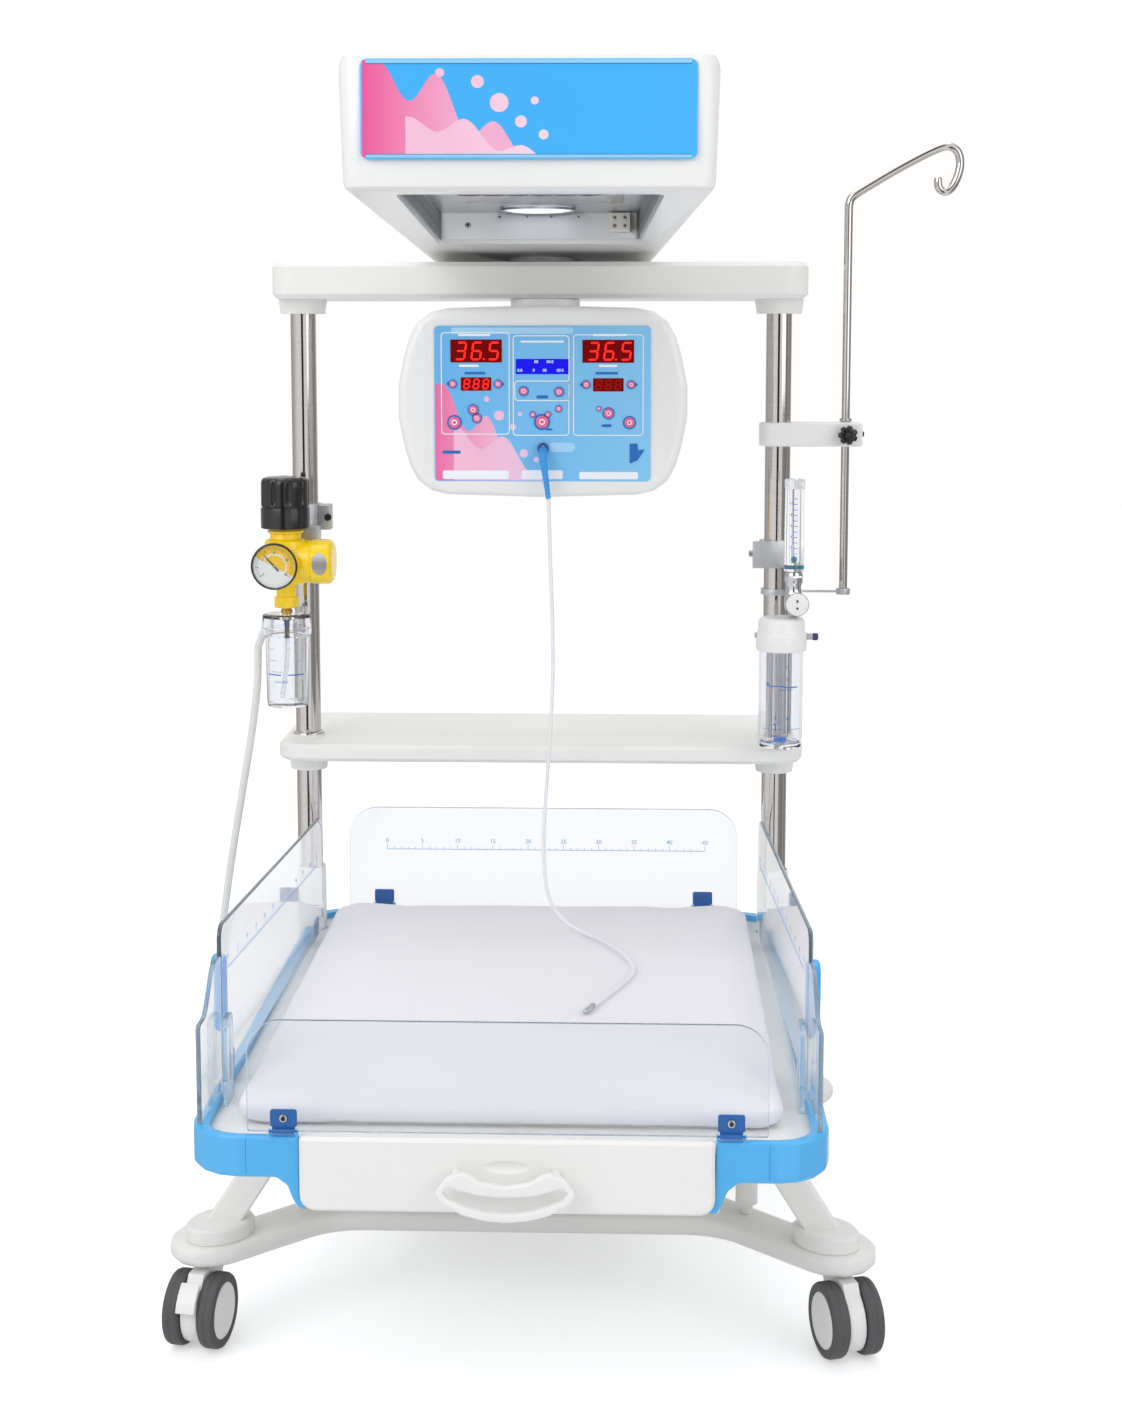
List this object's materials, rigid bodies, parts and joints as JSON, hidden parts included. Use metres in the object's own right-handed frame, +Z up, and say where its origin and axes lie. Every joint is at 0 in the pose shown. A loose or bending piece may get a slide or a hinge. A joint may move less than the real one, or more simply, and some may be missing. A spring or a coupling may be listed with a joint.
{
  "type": "infant radiant warmer",
  "caption": "Open infant bed on casters with fold-down clear sides and a drawer, under a swivelling overhead heater hood on two posts, with a control box and gas fittings.",
  "frame": {"origin": "on the floor under the middle of the part's outline, cords left out", "axes": "+Z up, +Y from the bed's front to its rear, +X to the right as seen from the front"},
  "size_m": [1.0449, 1.0276, 1.4411],
  "materials": {
    "white_paint": "satin white powder coat",
    "white_plastic": "moulded white plastic",
    "blue_plastic": "glossy blue moulding",
    "polished_steel": "polished stainless steel tube",
    "reflector_steel": "bright rolled stainless sheet",
    "clear_acrylic": "clear polished acrylic",
    "mattress_fabric": "pale coated fabric",
    "tyre_rubber": "dark grey tyre",
    "black_plastic": "black moulded knob",
    "yellow_paint": "yellow enamel",
    "aluminium": "brushed aluminium clamp",
    "plate_blue": "glossy printed plate",
    "overlay_film": "printed keypad film",
    "heater": "ceramic heater rods",
    "float_teal": "float",
    "cord_white": "soft white tube"
  },
  "bodies": {
    "frame": {"base_frame": "white_paint", "bed_deck": "white_plastic", "bed_supports": "white_paint", "bumper_left": "blue_plastic", "bumper_rear": "blue_plastic", "bumper_right": "blue_plastic", "control_back": "white_plastic", "control_bezel": "white_plastic", "control_overlay": "overlay_film", "crossbar": "white_paint", "flow_body": "polished_steel", "flow_clamp": "aluminium", "flow_tube": "clear_acrylic", "hose_coil": "cord_white", "hose_connector": "blue_plastic", "humidifier_cap": "white_plastic", "humidifier_jar": "clear_acrylic", "iv_bracket": "white_paint", "left_guide": "clear_acrylic", "mattress": "mattress_fabric", "post_left": "polished_steel", "post_right": "polished_steel", "probe_cable": "cord_white", "probe_socket": "blue_plastic", "probe_tip": "polished_steel", "right_guide": "clear_acrylic", "shelf": "white_paint", "suction_hose": "cord_white", "suction_jar": "clear_acrylic", "suction_lid": "white_plastic", "swivel_disc": "reflector_steel", "vacuum_body": "yellow_paint", "vacuum_clamp": "aluminium", "vacuum_gauge": "yellow_paint"},
    "hood": {"hood_shell": "white_plastic", "hood_front_plate": "plate_blue", "reflector": "reflector_steel", "heater_guard": "reflector_steel", "heater_element": "heater"},
    "front_side": {"front_panel": "clear_acrylic"},
    "rear_side": {"rear_panel": "clear_acrylic"},
    "left_side": {"left_panel": "clear_acrylic"},
    "right_side": {"right_panel": "clear_acrylic"},
    "drawer": {"drawer": "white_plastic", "drawer_handle": "white_plastic"},
    "caster_fl": {"caster_fl_housing": "white_plastic"},
    "caster_fr": {"caster_fr_housing": "white_plastic"},
    "caster_rl": {"caster_rl_housing": "white_plastic"},
    "caster_rr": {"caster_rr_housing": "white_plastic"},
    "wheels_fl": {"caster_fl_tyres": "tyre_rubber"},
    "wheels_fr": {"caster_fr_tyres": "tyre_rubber"},
    "wheels_rl": {"caster_rl_tyres": "tyre_rubber"},
    "wheels_rr": {"caster_rr_tyres": "tyre_rubber"},
    "brake_fl": {"caster_fl_brake": "white_plastic"},
    "vacuum_knob": {"vacuum_knob": "black_plastic"},
    "gauge_needle": {"gauge_needle": "black_plastic"},
    "flow_knob": {"flow_knob": "white_plastic"},
    "flow_float": {"flow_float": "float_teal"},
    "iv_pole": {"iv_pole": "polished_steel"},
    "iv_knob": {"iv_knob": "black_plastic"}
  },
  "joints": [
    {"name": "hood_swivel", "type": "hinge", "parent": "frame", "child": "hood", "pos_m": [-0.07629, 0.3825, 1.259], "axis": [0, 0, 1], "range_deg": [-45, 45]},
    {"name": "front_side_hinge", "type": "hinge", "parent": "frame", "child": "front_side", "pos_m": [-0.07629, -0.4755, 0.35], "axis": [1, 0, 0], "range_deg": [0, 90]},
    {"name": "rear_side_hinge", "type": "hinge", "parent": "frame", "child": "rear_side", "pos_m": [-0.07629, 0.3975, 0.35], "axis": [-1, 0, 0], "range_deg": [0, 90]},
    {"name": "left_side_hinge", "type": "hinge", "parent": "frame", "child": "left_side", "pos_m": [-0.38208, 0.28766, 0.35], "axis": [-0.0269, -0.9996, 0], "range_deg": [0, 90]},
    {"name": "right_side_hinge", "type": "hinge", "parent": "frame", "child": "right_side", "pos_m": [0.22951, 0.28766, 0.35], "axis": [-0.0269, 0.9996, 0], "range_deg": [0, 90]},
    {"name": "drawer_slide", "type": "slide", "parent": "frame", "child": "drawer", "axis": [0, -1, 0], "range_m": [0, 0.35]},
    {"name": "caster_fl_swivel", "type": "hinge", "parent": "frame", "child": "caster_fl", "pos_m": [-0.43829, -0.1965, 0.0927], "axis": [0, 0, 1], "continuous": true},
    {"name": "wheels_fl_spin", "type": "hinge", "parent": "caster_fl", "child": "wheels_fl", "pos_m": [-0.44516, -0.23184, 0.04263], "axis": [0.9816, -0.1908, 0], "continuous": true},
    {"name": "caster_fr_swivel", "type": "hinge", "parent": "frame", "child": "caster_fr", "pos_m": [0.28571, -0.1965, 0.0927], "axis": [0, 0, 1], "continuous": true},
    {"name": "wheels_fr_spin", "type": "hinge", "parent": "caster_fr", "child": "wheels_fr", "pos_m": [0.29624, -0.23093, 0.04263], "axis": [0.9563, 0.2924, 0], "continuous": true},
    {"name": "caster_rl_swivel", "type": "hinge", "parent": "frame", "child": "caster_rl", "pos_m": [-0.43829, 0.3385, 0.0927], "axis": [0, 0, 1], "continuous": true},
    {"name": "wheels_rl_spin", "type": "hinge", "parent": "caster_rl", "child": "wheels_rl", "pos_m": [-0.43265, 0.37406, 0.04263], "axis": [-0.9877, 0.1564, 0], "continuous": true},
    {"name": "caster_rr_swivel", "type": "hinge", "parent": "frame", "child": "caster_rr", "pos_m": [0.28571, 0.3385, 0.0927], "axis": [0, 0, 1], "continuous": true},
    {"name": "wheels_rr_spin", "type": "hinge", "parent": "caster_rr", "child": "wheels_rr", "pos_m": [0.27946, 0.37395, 0.04263], "axis": [-0.9848, -0.1736, 0], "continuous": true},
    {"name": "brake_fl_lever", "type": "hinge", "parent": "caster_fl", "child": "brake_fl", "pos_m": [-0.44935, -0.25343, 0.07783], "axis": [-0.9816, 0.1908, 0], "range_deg": [0, 20]},
    {"name": "vacuum_knob_turn", "type": "hinge", "parent": "frame", "child": "vacuum_knob", "pos_m": [-0.41079, 0.2375, 0.9025], "axis": [0, 0, 1], "continuous": true},
    {"name": "gauge_needle_turn", "type": "hinge", "parent": "frame", "child": "gauge_needle", "pos_m": [-0.41929, 0.195, 0.8557], "axis": [0, 1, 0], "range_deg": [-45, 225]},
    {"name": "flow_knob_turn", "type": "hinge", "parent": "frame", "child": "flow_knob", "pos_m": [0.26371, 0.2155, 0.8075], "axis": [0, 1, 0], "continuous": true},
    {"name": "flow_float_slide", "type": "slide", "parent": "frame", "child": "flow_float", "axis": [0, 0, 1], "range_m": [0, 0.08]},
    {"name": "iv_pole_turn", "type": "hinge", "parent": "frame", "child": "iv_pole", "pos_m": [0.33471, 0.3225, 0.8083], "axis": [0, 0, 1], "range_deg": [-90, 120]},
    {"name": "iv_knob_turn", "type": "hinge", "parent": "frame", "child": "iv_knob", "pos_m": [0.33471, 0.2995, 1.024], "axis": [0, 1, 0], "continuous": true}
  ]
}
